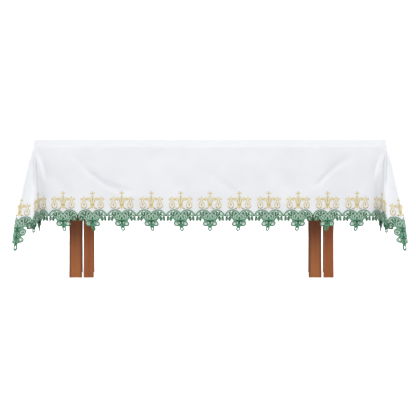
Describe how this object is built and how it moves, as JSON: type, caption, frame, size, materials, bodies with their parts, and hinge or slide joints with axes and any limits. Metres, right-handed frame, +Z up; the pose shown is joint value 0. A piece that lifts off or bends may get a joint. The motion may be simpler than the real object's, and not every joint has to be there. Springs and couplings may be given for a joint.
{
  "type": "altar cloth on an altar table",
  "caption": "White altar cloth with gold embroidery and a green scalloped lace edging, draped over a long wooden trestle altar table.",
  "frame": {"origin": "on the floor, under the middle of the table", "axes": "+Z up, +X along the length of the altar to the right as seen from the front, the front faces -Y"},
  "size_m": [2.6904, 0.977, 0.9],
  "materials": {
    "linen": "matt white plain weave",
    "lace": "two-tone green embroidered lace",
    "wood": "reddish brown satin varnish"
  },
  "bodies": {
    "root": {"cloth": "linen", "lace_front": "lace", "lace_back": "lace", "lace_left": "lace", "lace_right": "lace", "lace_corner_front_left": "lace", "lace_corner_front_right": "lace", "lace_corner_back_left": "lace", "lace_corner_back_right": "lace", "table_board": "wood", "post_front_left_wide": "wood", "post_front_left_narrow": "wood", "post_front_right_wide": "wood", "post_front_right_narrow": "wood", "post_back_left_wide": "wood", "post_back_left_narrow": "wood", "post_back_right_wide": "wood", "post_back_right_narrow": "wood", "rail_left_wide": "wood", "rail_left_narrow": "wood", "rail_right_wide": "wood", "rail_right_narrow": "wood", "bearer_left_wide": "wood", "bearer_left_narrow": "wood", "bearer_right_wide": "wood", "bearer_right_narrow": "wood"}
  },
  "joints": []
}
